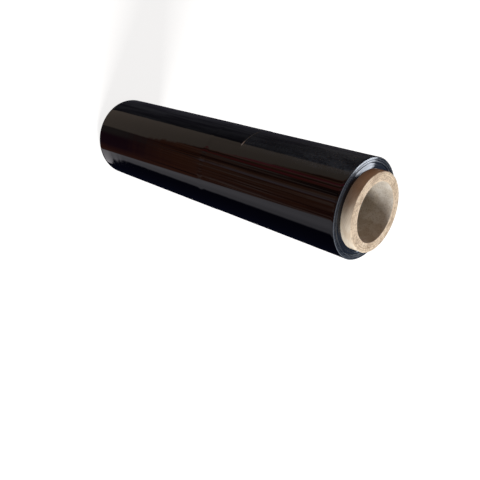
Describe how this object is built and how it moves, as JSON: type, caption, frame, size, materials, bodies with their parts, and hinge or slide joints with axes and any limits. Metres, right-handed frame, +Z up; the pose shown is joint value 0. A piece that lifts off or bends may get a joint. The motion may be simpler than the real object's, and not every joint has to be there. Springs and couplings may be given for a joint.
{
  "type": "stretch wrap roll",
  "caption": "Long roll of black stretch film wound on a thick paperboard core that stands out a little past the film at both ends.",
  "frame": {"origin": "centre of the lower end face of the core, which the roll stands on", "axes": "+Z up along the axis of the core and the wound film; X and Y lie across the roll, and the free end of the film is on the -X side"},
  "size_m": [0.1317, 0.1318, 0.528],
  "materials": {
    "kraft_board": "matte kraft paperboard with faint rings of plies on its cut ends",
    "black_film": "glossy black film with fine lines round the roll"
  },
  "bodies": {
    "root": {"core_tube": "kraft_board", "film_roll": "black_film"}
  },
  "joints": []
}
